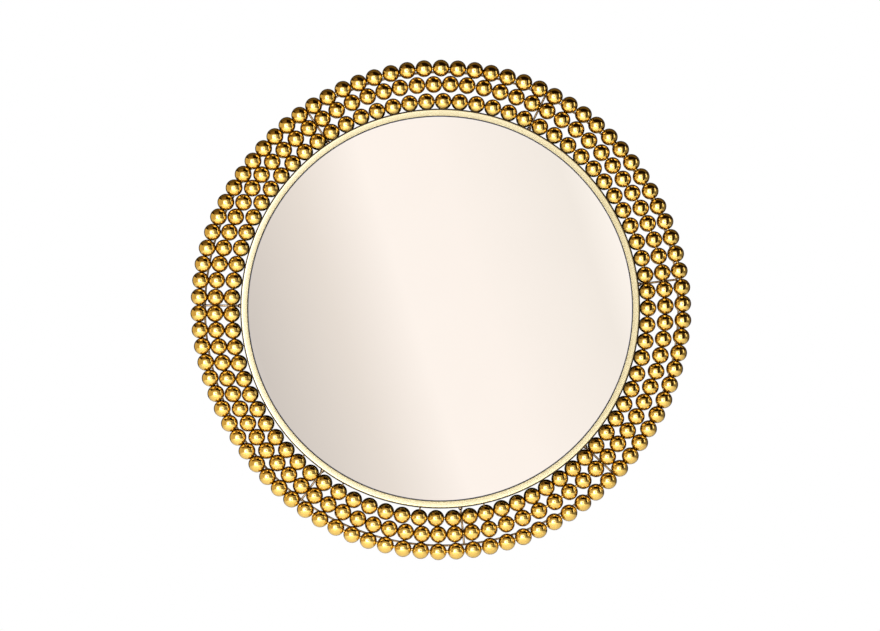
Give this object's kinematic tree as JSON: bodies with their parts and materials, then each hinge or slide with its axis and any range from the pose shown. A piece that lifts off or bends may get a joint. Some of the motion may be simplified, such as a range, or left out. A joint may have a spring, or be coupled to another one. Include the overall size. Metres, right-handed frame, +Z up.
{
  "type": "round mirror",
  "caption": "Round wall mirror: a flat glass in a narrow rim, ringed by rows of polished metal beads on wires, with a clipped-in back and two ring hangers.",
  "frame": {"origin": "on the mirror's axis, in the plane of the wall that its bumpers stand on", "axes": "+Z up the wall, +X to the viewer's right, +Y into the wall, so the glass faces -Y"},
  "size_m": [0.7998, 0.028, 0.8],
  "materials": {
    "rim_gold": "satin",
    "bead_gold": "polished",
    "wire_gold": "polished",
    "mirror": "polished",
    "black_rubber": "matte",
    "white_foam": "matte",
    "fibreboard": "matte",
    "zinc_steel": "satin",
    "grey_rubber": "matte"
  },
  "bodies": {
    "frame": {"rim": "rim_gold", "mirror_glass": "mirror", "glazing_gasket": "black_rubber", "foam_sheet": "white_foam", "backing_board": "fibreboard", "back_ring": "wire_gold", "spoke_collars": "wire_gold", "turn_clip_screws": "zinc_steel", "hanger_screws": "zinc_steel", "wall_bumpers": "grey_rubber", "inner_row_beads": "bead_gold", "inner_row_wire": "wire_gold", "middle_row_beads": "bead_gold", "middle_row_wire": "wire_gold", "outer_row_beads": "bead_gold", "outer_row_wire": "wire_gold", "spoke_1": "wire_gold", "spoke_2": "wire_gold", "spoke_3": "wire_gold", "spoke_4": "wire_gold", "spoke_5": "wire_gold", "spoke_6": "wire_gold", "spoke_7": "wire_gold", "hanger_strap_left": "zinc_steel", "hanger_strap_right": "zinc_steel"},
    "turn_clip_1": {"turn_clip_1": "zinc_steel"},
    "turn_clip_2": {"turn_clip_2": "zinc_steel"},
    "turn_clip_3": {"turn_clip_3": "zinc_steel"},
    "turn_clip_4": {"turn_clip_4": "zinc_steel"},
    "turn_clip_5": {"turn_clip_5": "zinc_steel"},
    "turn_clip_6": {"turn_clip_6": "zinc_steel"},
    "hanger_ring_left": {"hanger_ring_left": "zinc_steel"},
    "hanger_ring_right": {"hanger_ring_right": "zinc_steel"}
  },
  "joints": [
    {"name": "turn_clip_1_pivot", "type": "hinge", "parent": "frame", "child": "turn_clip_1", "pos_m": [0.25634, -0.00585, 0.148], "axis": [0, 1, 0], "continuous": true},
    {"name": "turn_clip_2_pivot", "type": "hinge", "parent": "frame", "child": "turn_clip_2", "pos_m": [0, -0.00585, 0.296], "axis": [0, 1, 0], "continuous": true},
    {"name": "turn_clip_3_pivot", "type": "hinge", "parent": "frame", "child": "turn_clip_3", "pos_m": [-0.25634, -0.00585, 0.148], "axis": [0, 1, 0], "continuous": true},
    {"name": "turn_clip_4_pivot", "type": "hinge", "parent": "frame", "child": "turn_clip_4", "pos_m": [-0.25634, -0.00585, -0.148], "axis": [0, 1, 0], "continuous": true},
    {"name": "turn_clip_5_pivot", "type": "hinge", "parent": "frame", "child": "turn_clip_5", "pos_m": [0, -0.00585, -0.296], "axis": [0, 1, 0], "continuous": true},
    {"name": "turn_clip_6_pivot", "type": "hinge", "parent": "frame", "child": "turn_clip_6", "pos_m": [0.25634, -0.00585, -0.148], "axis": [0, 1, 0], "continuous": true},
    {"name": "hanger_ring_left_swing", "type": "hinge", "parent": "frame", "child": "hanger_ring_left", "pos_m": [-0.18, -0.0039, 0.15], "axis": [-1, 0, 0], "range_deg": [0, 175]},
    {"name": "hanger_ring_right_swing", "type": "hinge", "parent": "frame", "child": "hanger_ring_right", "pos_m": [0.18, -0.0039, 0.15], "axis": [-1, 0, 0], "range_deg": [0, 175]}
  ]
}
